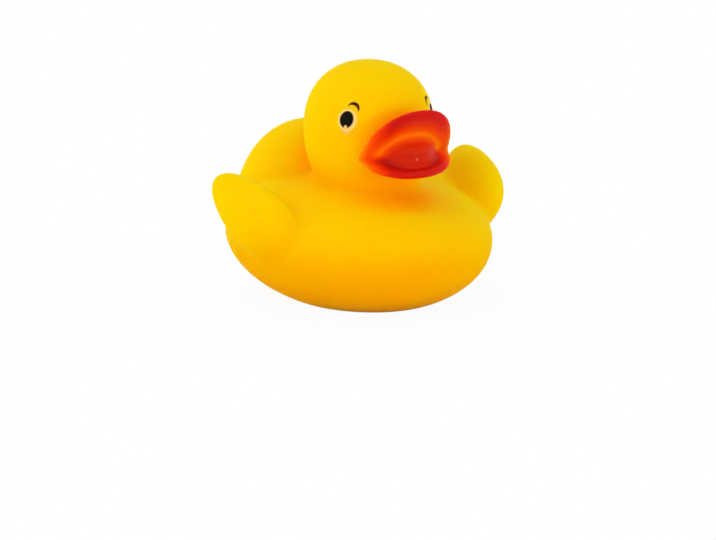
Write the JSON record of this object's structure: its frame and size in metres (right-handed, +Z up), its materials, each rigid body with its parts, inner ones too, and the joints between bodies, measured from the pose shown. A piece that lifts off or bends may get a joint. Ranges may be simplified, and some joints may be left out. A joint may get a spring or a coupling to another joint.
{
  "type": "rubber duck",
  "caption": "small hollow bath duck in soft yellow vinyl, bowl-shaped body with raised wings and upturned tail, round head, wide-open red bill and an air hole in its base",
  "frame": {"origin": "middle of the outline seen from above, on the surface the duck stands on", "axes": "the duck faces -Y, its left wing is at +X, +Z is up"},
  "size_m": [0.052, 0.048, 0.0399],
  "materials": {
    "yellow_vinyl": "matte soft vinyl, bill painted glossy red"
  },
  "bodies": {
    "root": {"duck_body": "yellow_vinyl"}
  },
  "joints": []
}
